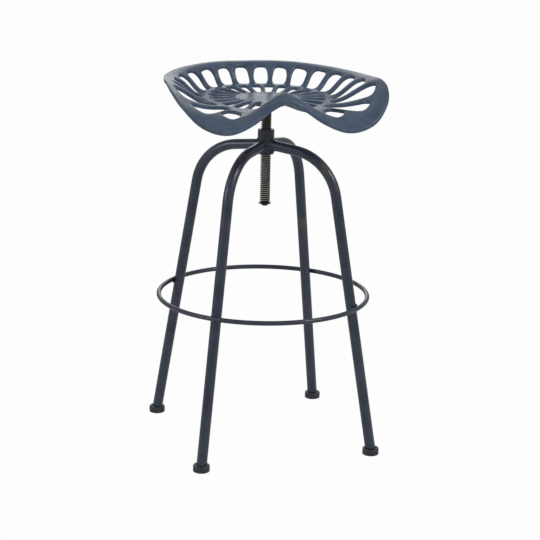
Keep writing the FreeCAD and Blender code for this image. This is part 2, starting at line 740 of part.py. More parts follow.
def makeSeat():
    blank = outlinePrism().common(seatSkin(0).extrude(Vector(0, 0, -blankDeep)))
    blank = blank.cut(seatSkin(size("seat_thick")).extrude(Vector(0, 0, -2 * blankDeep)))
    seat = doc.addObject("Part::Feature", "seat_blank")
    seat.Shape = blank
    slots = doc.addObject("Part::Feature", "seat_slots")
    slots.Shape = Part.Compound(seatCutters())
    slotted = cutAway("slotted_pan", seat, slots)
    bosses = []
    drills = []
    for spot in boltSpots(size("screw_high")):
        boss = doc.addObject("Part::Cylinder", "boss")
        boss.setExpression("Radius", "sizes.boss_dia / 2")
        boss.setExpression("Height", "sizes.seat_top - sizes.seat_thick / 2 - sizes.screw_high")
        boss.Placement.Base = spot
        bosses.append(boss)
        drill = doc.addObject("Part::Cylinder", "boss_drill")
        drill.setExpression("Radius", "sizes.bolt_dia / 2")
        drill.setExpression("Height", "sizes.boss_hole_deep")
        drill.Placement.Base = spot
        drills.append(drill)
    joined = doc.addObject("Part::MultiFuse", "pan_with_bosses")
    joined.Shapes = [slotted] + bosses
    holes = doc.addObject("Part::Compound", "boss_holes")
    holes.Links = drills
    return keep(cutAway("seat_pan", joined, holes), "seat_pan")


makeSeat()
doc.recompute()

for item in doc.Objects:
    assert not {"Invalid", "Error"} & set(item.State), item.Name
for item in subParts:
    shape = item.Shape
    assert not shape.isNull() and shape.isValid() and shape.Volume > 1, item.Label
    shape.exportStep("parts/%s.step" % item.Label)
    print(item.Label, len(shape.Solids), round(shape.Volume))
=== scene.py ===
import bpy
import json
import math
from mathutils import Euler, Matrix, Vector


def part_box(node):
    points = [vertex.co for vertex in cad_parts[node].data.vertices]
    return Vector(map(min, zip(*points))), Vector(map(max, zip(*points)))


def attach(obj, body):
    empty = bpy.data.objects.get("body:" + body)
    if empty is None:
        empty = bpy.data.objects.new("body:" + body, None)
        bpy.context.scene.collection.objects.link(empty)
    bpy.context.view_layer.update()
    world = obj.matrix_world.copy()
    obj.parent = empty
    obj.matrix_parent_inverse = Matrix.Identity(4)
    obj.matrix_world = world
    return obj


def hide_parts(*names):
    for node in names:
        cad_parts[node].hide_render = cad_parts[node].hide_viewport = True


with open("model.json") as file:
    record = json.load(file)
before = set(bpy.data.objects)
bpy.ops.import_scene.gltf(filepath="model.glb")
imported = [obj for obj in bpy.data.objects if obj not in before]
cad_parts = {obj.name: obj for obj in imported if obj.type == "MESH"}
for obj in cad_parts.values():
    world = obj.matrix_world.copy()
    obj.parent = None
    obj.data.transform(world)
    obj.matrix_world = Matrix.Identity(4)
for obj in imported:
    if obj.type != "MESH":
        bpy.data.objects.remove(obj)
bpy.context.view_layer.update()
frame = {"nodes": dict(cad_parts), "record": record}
nodes = frame["nodes"]
mm = 0.001


# Small helpers for edit mode
def deselectAll():
    if bpy.context.object and bpy.context.object.mode != "OBJECT":
        bpy.ops.object.mode_set(mode="OBJECT")
    bpy.ops.object.select_all(action="DESELECT")


def makeActive(piece):
    deselectAll()
    piece.select_set(True)
    bpy.context.view_layer.objects.active = piece


def editSelect(piece, kind, chooser):
    # select faces or edges by a test on each, then stay in edit mode
    makeActive(piece)
    bpy.ops.object.mode_set(mode="EDIT")
    bpy.ops.mesh.select_mode(type={"faces": "FACE", "edges": "EDGE"}[kind])
    bpy.ops.mesh.select_all(action="DESELECT")
    bpy.ops.object.mode_set(mode="OBJECT")
    for item in piece.data.polygons if kind == "faces" else piece.data.edges:
        item.select = chooser(item)
    bpy.ops.object.mode_set(mode="EDIT")


def smooth(piece, angle):
    makeActive(piece)
    bpy.ops.object.shade_smooth_by_angle(angle=math.radians(angle))


def applyModifiers(piece):
    makeActive(piece)
    for modifier in list(piece.modifiers):
        bpy.ops.object.modifier_apply(modifier=modifier.name)


def settle(piece):
    # the finished piece's place goes into its mesh
    makeActive(piece)
    bpy.ops.object.transform_apply(location=True, rotation=True, scale=True)


# Camera, from the photo's own perspective
cameraDesk = {
    "spot": (-0.6944, -3.0079, 1.1636), "heading": 13.24, "tilt": 14.96, "roll": 1.17,
    "lens": 108.11, "sensor": 36,
}


def makeCamera(desk):
    bpy.ops.object.camera_add(location=desk["spot"])
    camera = bpy.context.object
    camera.name = "photoCamera"
    look = Euler((math.radians(90 - desk["tilt"]), 0, math.radians(-desk["heading"]))).to_matrix()
    camera.rotation_euler = (look @ Matrix.Rotation(math.radians(desk["roll"]), 3, "Z")).to_euler()
    camera.data.lens = desk["lens"]
    camera.data.sensor_width = desk["sensor"]
    bpy.context.scene.camera = camera
    print("camera ready")


# Studio: pale floor and backdrop that look white, a dimmer sky as light, and a key, a left and a back lamp;
# a lamp has its place, its width and its power
studioDesk = {
    "floorSize": 60, "floorColour": (0.8, 0.8, 0.8, 1), "floorRough": 0.9, "whiteShare": 0.97,
    "skyPower": 0.45, "aim": (0, 0, 0.5),
    "lamps": (("key", (1.9, -1.7, 2.4), 0.9, 34), ("left", (-2.6, -0.6, 1.5), 0.9, 16),
              ("back", (0.55, 2.9, 1.2), 1.3, 9)),
}


def makeStudio(desk):
    bpy.ops.mesh.primitive_plane_add(size=desk["floorSize"])
    floor = bpy.context.object
    floor.name = "floor"
    surface = bpy.data.materials.new("paleFloor")
    surface.use_nodes = True
    tree = surface.node_tree
    shader = tree.nodes["Principled BSDF"]
    shader.inputs["Base Color"].default_value = desk["floorColour"]
    shader.inputs["Roughness"].default_value = desk["floorRough"]
    glow = addNode(tree, "ShaderNodeEmission")
    path = addNode(tree, "ShaderNodeLightPath")
    blend = addNode(tree, "ShaderNodeMixShader")
    seenShare = mathNode(tree, "MULTIPLY", path.outputs["Is Camera Ray"], desk["whiteShare"])
    tree.links.new(seenShare, blend.inputs["Fac"])
    tree.links.new(shader.outputs["BSDF"], blend.inputs[1])
    tree.links.new(glow.outputs["Emission"], blend.inputs[2])
    tree.links.new(blend.outputs["Shader"], tree.nodes["Material Output"].inputs["Surface"])
    floor.data.materials.append(surface)
    world = bpy.data.worlds.new("studio")
    bpy.context.scene.world = world
    world.use_nodes = True
    tree = world.node_tree
    sky = tree.nodes["Background"]
    sky.inputs["Color"].default_value = (1, 1, 1, 1)
    path = addNode(tree, "ShaderNodeLightPath")
    extra = mathNode(tree, "MULTIPLY", path.outputs["Is Camera Ray"], 1.0 - desk["skyPower"])
    tree.links.new(mathNode(tree, "ADD", extra, desk["skyPower"]), sky.inputs["Strength"])
    target = Vector(desk["aim"])
    for name, spot, width, power in desk["lamps"]:
        bpy.ops.object.light_add(type="AREA", location=spot)
        lamp = bpy.context.object
        lamp.name = name + "Lamp"
        lamp.data.size = width
        lamp.data.energy = power
        lamp.rotation_euler = (target - Vector(spot)).to_track_quat("-Z", "Y").to_euler()
    bpy.context.scene.view_settings.view_transform = "Standard"
    print("studio ready")


# Small helpers for node trees
def newGroup(name, inputs, outputs):
    group = bpy.data.node_groups.new(name, "ShaderNodeTree")
    for label, kind, value in inputs:
        socket = group.interface.new_socket(name=label, in_out="INPUT", socket_type=kind)
        if value is not None:
            socket.default_value = value
    for label, kind in outputs:
        group.interface.new_socket(name=label, in_out="OUTPUT", socket_type=kind)
    start = group.nodes.new("NodeGroupInput")
    end = group.nodes.new("NodeGroupOutput")
    return group, start, end


def addNode(tree, kind, **settings):
    made = tree.nodes.new(kind)
    for key, value in settings.items():
        setattr(made, key, value)
    return made


def mathNode(tree, operation, first, second=None, clamp=False):
    made = addNode(tree, "ShaderNodeMath", operation=operation, use_clamp=clamp)
    for slotIndex, value in enumerate((first, second)):
        if value is None:
            continue
        if isinstance(value, (int, float)):
            made.inputs[slotIndex].default_value = value
        else:
            tree.links.new(value, made.inputs[slotIndex])
    return made.outputs[0]


def stepMask(tree, value, low, high):
    # 0 below low, 1 above high; low and high are numbers or sockets
    made = addNode(tree, "ShaderNodeMapRange", interpolation_type="SMOOTHSTEP")
    for label, source in (("Value", value), ("From Min", low), ("From Max", high)):
        if isinstance(source, (int, float)):
            made.inputs[label].default_value = source
        else:
            tree.links.new(source, made.inputs[label])
    return made.outputs["Result"]


def noise(tree, vector, scale, detail=4.0, rough=0.55):
    made = addNode(tree, "ShaderNodeTexNoise")
    made.inputs["Detail"].default_value = detail
    made.inputs["Roughness"].default_value = rough
    tree.links.new(vector, made.inputs["Vector"])
    if isinstance(scale, (int, float)):
        made.inputs["Scale"].default_value = scale
    else:
        tree.links.new(scale, made.inputs["Scale"])
    return made.outputs["Fac"]


def colourMix(tree, factor, first, second):
    made = addNode(tree, "ShaderNodeMix", data_type="RGBA")
    for label, source in (("Factor", factor), ("A", first), ("B", second)):
        socket = [item for item in made.inputs if item.name == label and item.type in ("RGBA", "VALUE")
                  and (item.type == "RGBA") == (label != "Factor")][0]
        if hasattr(source, "is_linked"):
            tree.links.new(source, socket)
        else:
            socket.default_value = source
    return [item for item in made.outputs if item.type == "RGBA"][0]


makeCamera(cameraDesk)
makeStudio(studioDesk)


# Shared node groups
groupDesk = {
    "fineStep": 5.3, "broadShare": 0.65, "patchLow": 0.35, "patchHigh": 0.62, "speckFade": 0.07,
    "fineGrainShare": 0.45, "grainHeight": 0.0012,
}


def makeMottle():
    # cloudy variation from 0 to 1, two sizes of cloud
    group, start, end = newGroup(
        "paintMottle", (("Vector", "NodeSocketVector", None), ("Scale", "NodeSocketFloat", 30.0),
                        ("Contrast", "NodeSocketFloat", 0.2)), (("Mask", "NodeSocketFloat"),))
    broad = noise(group, start.outputs["Vector"], start.outputs["Scale"])
    fineScale = mathNode(group, "MULTIPLY", start.outputs["Scale"], groupDesk["fineStep"])
    fine = noise(group, start.outputs["Vector"], fineScale, 6.0, 0.65)
    broadPart = mathNode(group, "MULTIPLY", broad, groupDesk["broadShare"])
    finePart = mathNode(group, "MULTIPLY", fine, 1 - groupDesk["broadShare"])
    both = mathNode(group, "ADD", broadPart, finePart)
    low = mathNode(group, "SUBTRACT", 0.5, start.outputs["Contrast"])
    high = mathNode(group, "ADD", 0.5, start.outputs["Contrast"])
    group.links.new(stepMask(group, both, low, high), end.inputs["Mask"])
    return group


def makeEdgeWear():
    # bright where the surface turns sharply outward, broken up by noise
    group, start, end = newGroup(
        "edgeWear", (("Vector", "NodeSocketVector", None), ("Low", "NodeSocketFloat", 0.51),
                     ("High", "NodeSocketFloat", 0.58), ("Breakup", "NodeSocketFloat", 0.5),
                     ("Scale", "NodeSocketFloat", 60.0)), (("Mask", "NodeSocketFloat"),))
    shape = addNode(group, "ShaderNodeNewGeometry")
    edge = stepMask(group, shape.outputs["Pointiness"], start.outputs["Low"], start.outputs["High"])
    patchy = noise(group, start.outputs["Vector"], start.outputs["Scale"], 5.0, 0.6)
    cloud = stepMask(group, patchy, groupDesk["patchLow"], groupDesk["patchHigh"])
    keepShare = mathNode(group, "SUBTRACT", 1.0, start.outputs["Breakup"])
    share = mathNode(group, "ADD", keepShare, mathNode(group, "MULTIPLY", cloud, start.outputs["Breakup"]))
    group.links.new(mathNode(group, "MULTIPLY", edge, share, True), end.inputs["Mask"])
    return group


def makeSpecks():
    # small scattered spots, as of rust or chipped paint
    group, start, end = newGroup(
        "speckSpots", (("Vector", "NodeSocketVector", None), ("Scale", "NodeSocketFloat", 45.0),
                       ("Cover", "NodeSocketFloat", 0.36)), (("Mask", "NodeSocketFloat"),))
    patch = noise(group, start.outputs["Vector"], start.outputs["Scale"], 8.0, 0.7)
    limit = mathNode(group, "SUBTRACT", 1.0, start.outputs["Cover"])
    soft = mathNode(group, "ADD", limit, groupDesk["speckFade"])
    group.links.new(stepMask(group, patch, limit, soft), end.inputs["Mask"])
    return group


def makeGrain():
    # fine surface relief: orange peel of the paint over coarser sand or mill texture
    group, start, end = newGroup(
        "surfaceGrain", (("Vector", "NodeSocketVector", None), ("Scale", "NodeSocketFloat", 400.0),
                         ("Coarse", "NodeSocketFloat", 60.0), ("Depth", "NodeSocketFloat", 0.25)),
        (("Normal", "NodeSocketVector"),))
    fine = noise(group, start.outputs["Vector"], start.outputs["Scale"], 3.0, 0.5)
    coarse = noise(group, start.outputs["Vector"], start.outputs["Coarse"], 4.0, 0.5)
    finePart = mathNode(group, "MULTIPLY", fine, groupDesk["fineGrainShare"])
    coarsePart = mathNode(group, "MULTIPLY", coarse, 1 - groupDesk["fineGrainShare"])
    height = mathNode(group, "ADD", finePart, coarsePart)
    bump = addNode(group, "ShaderNodeBump")
    bump.inputs["Distance"].default_value = groupDesk["grainHeight"]
    group.links.new(start.outputs["Depth"], bump.inputs["Strength"])
    group.links.new(height, bump.inputs["Height"])
    group.links.new(bump.outputs["Normal"], end.inputs["Normal"])
    return group


groups = {"mottle": makeMottle(), "wear": makeEdgeWear(), "specks": makeSpecks(), "grain": makeGrain()}


def useGroup(tree, which, vector, **values):
    made = addNode(tree, "ShaderNodeGroup", node_tree=groups[which])
    tree.links.new(vector, made.inputs["Vector"])
    for label, value in values.items():
        made.inputs[label].default_value = value
    return made.outputs


def newMaterial(name, coat=0.0):
    material = bpy.data.materials.new(name)
    material.use_nodes = True
    tree = material.node_tree
    shader = tree.nodes["Principled BSDF"]
    shader.inputs["Coat Weight"].default_value = coat
    vector = addNode(tree, "ShaderNodeTexCoord").outputs["Object"]
    return material, tree, shader, vector


def addGrain(tree, shader, vector, desk):
    grain = useGroup(tree, "grain", vector, Scale=desk["grain"], Coarse=desk["coarse"], Depth=desk["depth"])
    tree.links.new(grain["Normal"], shader.inputs["Normal"])


# Painted steel: two paint tones, light rubbed edges, rust specks, orange peel
def paintedSteel(name, desk):
    material, tree, shader, vector = newMaterial(name, desk["coat"])
    cloud = useGroup(tree, "mottle", vector, Scale=desk["cloud"], Contrast=desk["contrast"])["Mask"]
    colour = colourMix(tree, cloud, desk["dark"], desk["light"])
    rust = useGroup(tree, "specks", vector, Scale=desk["rustScale"], Cover=desk["rustCover"])["Mask"]
    rustTone = colourMix(tree, noise(tree, vector, desk["rustGrain"]), desk["rustDark"], desk["rustLight"])
    if "bendHeight" in desk:
        # more paint is rubbed through at the height of the bends
        low, high = desk["bendHeight"]
        height = addNode(tree, "ShaderNodeSeparateXYZ")
        tree.links.new(vector, height.inputs["Vector"])
        above = stepMask(tree, height.outputs["Z"], low, low + desk["bendFade"])
        past = stepMask(tree, height.outputs["Z"], high - desk["bendFade"], high)
        below = mathNode(tree, "SUBTRACT", 1.0, past)
        patch = useGroup(tree, "specks", vector, Scale=desk["bendScale"], Cover=desk["bendCover"])["Mask"]
        atBend = mathNode(tree, "MULTIPLY", mathNode(tree, "MULTIPLY", above, below), patch)
        rust = mathNode(tree, "MAXIMUM", rust, atBend)
    rustShare = mathNode(tree, "MULTIPLY", rust, desk["rustShare"])
    colour = colourMix(tree, rustShare, colour, rustTone)
    if "wear" in desk:
        worn = useGroup(tree, "wear", vector, Low=desk["wearLow"], High=desk["wearHigh"],
                        Breakup=desk["breakup"], Scale=desk["wearScale"])["Mask"]
        colour = colourMix(tree, mathNode(tree, "MULTIPLY", worn, desk["wearShare"]), colour, desk["wear"])
    tree.links.new(colour, shader.inputs["Base Color"])
    gloss = mathNode(tree, "ADD", desk["rough"], mathNode(tree, "MULTIPLY", cloud, desk["roughSpread"]))
    gloss = mathNode(tree, "ADD", gloss, mathNode(tree, "MULTIPLY", rustShare, desk["rustRough"]), True)
    tree.links.new(gloss, shader.inputs["Roughness"])
    addGrain(tree, shader, vector, desk)
    return material


rustTones = {
    "rustDark": (0.055, 0.028, 0.018, 1), "rustLight": (0.16, 0.085, 0.05, 1),
    "rustGrain": 300.0, "rustRough": 0.3,
}
paintDesk = {
    "dark": (0.009, 0.016, 0.036, 1), "light": (0.027, 0.041, 0.072, 1), "cloud": 24.0, "contrast": 0.2,
    "rustScale": 16.0, "rustCover": 0.4, "rustShare": 0.7, "rough": 0.3, "roughSpread": 0.16,
    "grain": 700.0, "coarse": 120.0, "depth": 0.12, "coat": 0.25, **rustTones,
}
legDesk = {**paintDesk, "bendHeight": (0.5, 0.575), "bendFade": 0.02, "bendScale": 26.0, "bendCover": 0.47}
ringDesk = {
    **paintDesk, "dark": (0.009, 0.014, 0.03, 1), "light": (0.026, 0.036, 0.06, 1), "cloud": 14.0,
    "rustCover": 0.35, "rough": 0.36,
}
weldDesk = {**paintDesk, "cloud": 70.0, "grain": 500.0, "coarse": 330.0, "depth": 0.6}
hubDesk = {
    **paintDesk, "dark": (0.006, 0.008, 0.014, 1), "light": (0.017, 0.021, 0.034, 1), "cloud": 60.0,
    "rustCover": 0.33, "rough": 0.4,
}
plateDesk = {**hubDesk, "dark": (0.006, 0.007, 0.01, 1), "light": (0.016, 0.018, 0.023, 1)}
seatDesk = {
    "dark": (0.026, 0.05, 0.098, 1), "light": (0.078, 0.118, 0.186, 1), "cloud": 22.0, "contrast": 0.22,
    "rustScale": 30.0, "rustCover": 0.3, "rustShare": 0.35, "rough": 0.34, "roughSpread": 0.18,
    "wear": (0.4, 0.43, 0.46, 1), "wearLow": 0.53, "wearHigh": 0.63, "breakup": 0.6, "wearScale": 38.0,
    "wearShare": 0.6, "grain": 520.0, "coarse": 70.0, "depth": 0.3, "coat": 0.1, **rustTones,
}
screwDesk = {
    "dark": (0.15, 0.138, 0.125, 1), "light": (0.4, 0.37, 0.335, 1), "groove": (0.018, 0.015, 0.014, 1),
    "black": (0.018, 0.017, 0.017, 1), "cloud": 80.0, "contrast": 0.25,
    "rootRadius": 0.0086, "crestRadius": 0.0096, "blackFrom": 0.56, "blackWhole": 0.6, "blackShare": 0.85,
    "rough": 0.42, "roughSpread": 0.2, "metal": 0.55, "grain": 900.0, "coarse": 220.0, "depth": 0.12,
}
oxideDesk = {
    "dark": (0.014, 0.013, 0.013, 1), "light": (0.045, 0.042, 0.04, 1), "cloud": 140.0, "contrast": 0.25,
    "rough": 0.3, "roughSpread": 0.2, "metal": 0.6, "grain": 900.0, "coarse": 260.0, "depth": 0.1,
}
plasticDesk = {
    "dark": (0.013, 0.0145, 0.02, 1), "light": (0.034, 0.037, 0.048, 1), "cloud": 90.0, "contrast": 0.3,
    "scuff": (0.075, 0.077, 0.082, 1), "scuffScale": 160.0, "scuffCover": 0.4, "scuffShare": 0.4,
    "rough": 0.38, "scuffRough": 0.25, "grain": 1300.0, "coarse": 300.0, "depth": 0.1,
}


def screwSteel(name, desk):
    # rolled thread: grey-brown steel, painted shade low in the grooves, near black in the hub and above
    material, tree, shader, vector = newMaterial(name)
    cloud = useGroup(tree, "mottle", vector, Scale=desk["cloud"], Contrast=desk["contrast"])["Mask"]
    steel = colourMix(tree, cloud, desk["dark"], desk["light"])
    split = addNode(tree, "ShaderNodeSeparateXYZ")
    tree.links.new(vector, split.inputs["Vector"])
    squares = [mathNode(tree, "POWER", mathNode(tree, "ABSOLUTE", split.outputs[axis]), 2.0)
               for axis in "XY"]
    radius = mathNode(tree, "SQRT", mathNode(tree, "ADD", squares[0], squares[1]))
    # crest runs from 0 in the thread's roots to 1 on its crests; the roots get a painted shade colour
    crest = stepMask(tree, radius, desk["rootRadius"], desk["crestRadius"])
    colour = colourMix(tree, crest, desk["groove"], steel)
    high = stepMask(tree, split.outputs["Z"], desk["blackFrom"], desk["blackWhole"])
    colour = colourMix(tree, mathNode(tree, "MULTIPLY", high, desk["blackShare"]), colour, desk["black"])
    tree.links.new(colour, shader.inputs["Base Color"])
    gloss = mathNode(tree, "ADD", desk["rough"], mathNode(tree, "MULTIPLY", cloud, desk["roughSpread"]))
    tree.links.new(gloss, shader.inputs["Roughness"])
    tree.links.new(mathNode(tree, "MULTIPLY", crest, desk["metal"]), shader.inputs["Metallic"])
    addGrain(tree, shader, vector, desk)
    return material


def blackOxide(name, desk):
    # washers, bolts and screw: oiled black steel
    material, tree, shader, vector = newMaterial(name)
    cloud = useGroup(tree, "mottle", vector, Scale=desk["cloud"], Contrast=desk["contrast"])["Mask"]
    tree.links.new(colourMix(tree, cloud, desk["dark"], desk["light"]), shader.inputs["Base Color"])
    gloss = mathNode(tree, "ADD", desk["rough"], mathNode(tree, "MULTIPLY", cloud, desk["roughSpread"]))
    tree.links.new(gloss, shader.inputs["Roughness"])
    shader.inputs["Metallic"].default_value = desk["metal"]
    addGrain(tree, shader, vector, desk)
    return material


def capPlastic(name, desk):
    # black plastic, scuffed pale where it has been dragged
    material, tree, shader, vector = newMaterial(name)
    cloud = useGroup(tree, "mottle", vector, Scale=desk["cloud"], Contrast=desk["contrast"])["Mask"]
    scuff = useGroup(tree, "specks", vector, Scale=desk["scuffScale"], Cover=desk["scuffCover"])["Mask"]
    colour = colourMix(tree, cloud, desk["dark"], desk["light"])
    colour = colourMix(tree, mathNode(tree, "MULTIPLY", scuff, desk["scuffShare"]), colour, desk["scuff"])
    tree.links.new(colour, shader.inputs["Base Color"])
    gloss = mathNode(tree, "ADD", desk["rough"], mathNode(tree, "MULTIPLY", scuff, desk["scuffRough"]))
    tree.links.new(gloss, shader.inputs["Roughness"])
    addGrain(tree, shader, vector, desk)
    return material


materials = {
    "leg_paint": paintedSteel("legPaint", legDesk), "ring_paint": paintedSteel("ringPaint", ringDesk),
    "hub_paint": paintedSteel("hubPaint", hubDesk), "plate_paint": paintedSteel("platePaint", plateDesk),
    "weld_paint": paintedSteel("weldPaint", weldDesk),
    "seat_casting": paintedSteel("seatCasting", seatDesk),
    "screw_steel": screwSteel("screwSteel", screwDesk),
    "fastener_black": blackOxide("blackOxide", oxideDesk),
    "cap_plastic": capPlastic("capPlastic", plasticDesk),
}
print("materials ready")

for part in frame["record"]["subparts"]:
    node = nodes[part["node"]]
    node.data.materials.clear()
    node.data.materials.append(materials[part["material_slot"]])


# Seat casting: stations of angle from the back, rim radius, heights above the centre disc of the band
# between the two rows of slots, of the brim's inner edge and of the rim, and how far the outer slots
# end short of the rim, in millimetres
seatStations = (
    (0, 178, 7.5, 40.5, 46.5, 25), (25, 178, 7.5, 40.5, 47, 25), (50, 189, 5, 37.5, 42.5, 24),
    (75, 195, 2.5, 33.5, 39.5, 22), (95, 203, 1, 32, 40.5, 19), (110, 219.5, -1, 31, 42, 20),
    (120, 237, -3, 22, 34, 22), (130, 251.5, -5, 6, 13, 38), (140, 248, -6, -11, -19.5, 38),
    (150, 224.5, -7, -19, -32.5, 38), (160, 199, -3, 0, -17, 38), (170, 181, 12, 20, 7.5, 38),
    (180, 178, 24, 32, 21, 38),
)
seatDims = {
    "top": 682.0, "thick": 7.0, "disc": 58.0, "bandIn": 112.0, "bandOut": 126.0, "brim": 27.0,
    "pitch": 15.4, "outerRib": 9.5, "innerRib": 8.0, "outerSlots": 9, "innerSlots": 10,
    "nearRound": 8.0, "farRound": 11.0, "sideFarRound": 18.0, "innerNearRound": 3.5, "innerFarRound": 7.0,
    "cornerPull": 0.29, "edgeCrease": 0.3,
    "discRings": (46, 56), "innerRings": (62, 65.5, 76, 87, 97, 105.5, 112), "bandRing": 119,
    # the brim's rings, as shares of its width
    "brimShares": (0.3, 0.6, 0.86, 1.0),
    # cells of the net in one pitch, and before the seat's front
    "perPitch": 6, "frontCells": 16,
    "holeSide": 98.0, "holeFront": 134.0, "holeWide": 18.0, "holeLong": 23.0,
    # room from a thigh hole to the rings beside it
    "holeNear": 6.0, "holeFar": 8.0, "holeTight": 4.0,
    # middle of the hole's block of cells, and half its width
    "holeCell": 3, "holeRing": 4, "holeHalf": 2,
    # cells that the hole's rings take, and that they fade in
    "holeCells": 6, "evenCells": 3, "marginCells": 8,
    "bosses": 4, "bossCircle": 28.0, "bossRadius": 9.0, "bossFloor": 673.0, "bossEdge": 1.2, "bossSides": 40,
}


def blendCurve(low, high, slopeLow, slopeHigh, span, part):
    # cubic from low to high with given end slopes; part runs from 0 to 1 across the span
    rest = 1 - part
    return (low * (1 + 2 * part) * rest * rest + slopeLow * span * part * rest * rest
            + high * part * part * (3 - 2 * part) - slopeHigh * span * part * part * rest)


def stationTrack(column):
    half = [(row[0], row[column]) for row in seatStations]
    track = [(-angle, value) for angle, value in reversed(half[1:])] + half
    return track + [(360 - angle, value) for angle, value in reversed(half[:-1])]


rimTrack, bandTrack, brimTrack, edgeTrack, marginTrack = (stationTrack(column) for column in range(1, 6))


def readTrack(track, angle):
    i = max(n for n in range(1, len(track) - 2) if track[n][0] <= angle)

    def rise(n):
        left, right = track[n][0] - track[n - 1][0], track[n + 1][0] - track[n][0]
        before = (track[n][1] - track[n - 1][1]) / left
        after = (track[n + 1][1] - track[n][1]) / right
        return (before * right + after * left) / (left + right)

    span = track[i + 1][0] - track[i][0]
    return blendCurve(track[i][1], track[i + 1][1], rise(i), rise(i + 1), span, (angle - track[i][0]) / span)


def seatHeight(radius, angle):
    # height of the sitting surface above the centre disc, in millimetres
    d = seatDims
    rim, band, brim, edge = (readTrack(track, abs(angle))
                             for track in (rimTrack, bandTrack, brimTrack, edgeTrack))
    brimIn = rim - d["brim"]
    wall = (brim - band) / (brimIn - d["bandOut"])
    lip = (edge - brim) / (rim - brimIn)
    corner = (wall + lip) / 2
    if radius < d["disc"]:
        return 0.0
    if radius < d["bandIn"]:
        span = d["bandIn"] - d["disc"]
        return blendCurve(0, band, 0, 0, span, (radius - d["disc"]) / span)
    if radius < d["bandOut"]:
        return band
    if radius < brimIn:
        span = brimIn - d["bandOut"]
        return blendCurve(band, brim, 0, corner, span, (radius - d["bandOut"]) / span)
    last = lip + (lip - corner) / 2
    return blendCurve(brim, edge, corner, last, rim - brimIn, min((radius - brimIn) / (rim - brimIn), 1.0))


# The casting is netted as rings and spokes: spokes follow the ribs, rings follow the slots' ends
sideCells = seatDims["outerSlots"] * seatDims["perPitch"]
halfCells = sideCells + seatDims["frontCells"]
innerCells = (seatDims["innerSlots"] + 0.5) * seatDims["perPitch"]
slotMiddles = [seatDims["pitch"] * (i + 0.5) for i in range(seatDims["outerSlots"])]
slotEnds = [readTrack(rimTrack, middle) - readTrack(marginTrack, middle) for middle in slotMiddles]
holeAngle = 180 - math.degrees(math.atan2(seatDims["holeSide"], seatDims["holeFront"]))
holeReach = math.hypot(seatDims["holeSide"], seatDims["holeFront"])
innerLast, outerLast = len(seatDims["innerRings"]) - 1, 7
ringNames = ([("disc", radius) for radius in seatDims["discRings"]]
             + [("inner", i) for i in range(innerLast + 1)] + [("band", seatDims["bandRing"])]
             + [("outer", i) for i in range(outerLast + 1)]
             + [("brim", share) for share in seatDims["brimShares"]])


def spokeAngle(cell, ribWidth, radius, ribFirst):
    # angle of one spoke; ribFirst puts the ribs on whole pitches, otherwise on half pitches
    d = seatDims
    count = d["perPitch"]
    shifted = cell if ribFirst else cell + count // 2
    pitchNumber, local = divmod(shifted, count)
    base = d["pitch"] * (pitchNumber - (0 if ribFirst else 0.5))
    halfRib = math.degrees(math.asin(ribWidth / 2 / radius))
    if local == 0:
        return base
    inSlot = (local - 1) / (count - 2)
    return base + halfRib + inSlot * (d["pitch"] - 2 * halfRib)


def frontAngle(cell, start, startAngle):
    return startAngle + (cell - start) * (180 - startAngle) / (halfCells - start)


def outerRadius(cell, ring, rim):
    # radius of one ring of the outer row at one spoke
    d = seatDims
    near, count = d["bandOut"], d["perPitch"]
    slotIndex, local = divmod(cell, count)
    if cell > sideCells:
        sideMargin = readTrack(marginTrack, slotMiddles[-1])
        far = rim - d["brim"] - (sideMargin - d["brim"]) * max(0, 1 - (cell - sideCells) / d["marginCells"])
    elif local:
        far = slotEnds[slotIndex]
    else:
        ends = slotEnds[max(slotIndex - 1, 0):slotIndex + 1]
        far = sum(ends) / len(ends)
    isSide = cell > sideCells - count
    firstRing, lastRing = near + d["nearRound"], far - d["sideFarRound" if isSide else "farRound"]
    between = outerLast - 2
    middle = [firstRing + (lastRing - firstRing) * i / between for i in range(between + 1)]
    slotRings = [near] + middle + [far]
    evenRings = [near + (far - near) * i / outerLast for i in range(outerLast + 1)]
    hole = [near, holeReach - d["holeLong"] - d["holeNear"]] \
        + [holeReach + d["holeLong"] * share for share in (-1, -0.5, 0, 0.5, 1)] + [far]
    # where the rim comes too near for the hole's rings, they are drawn together
    squeeze = (far - near) / (hole[-2] + d["holeFar"] - near)
    block = [near + (value - near) * squeeze for value in hole[:-1]] + [far]
    if cell <= sideCells - 1:
        return slotRings[ring]
    if cell == sideCells:
        return (slotRings[ring] + hole[ring]) / 2
    if cell <= sideCells + d["holeCells"]:
        return hole[ring] if far > hole[-2] + d["holeTight"] else near + (hole[ring] - near) * squeeze
    share = min((cell - sideCells - d["holeCells"]) / d["evenCells"], 1)
    return block[ring] * (1 - share) + evenRings[ring] * share


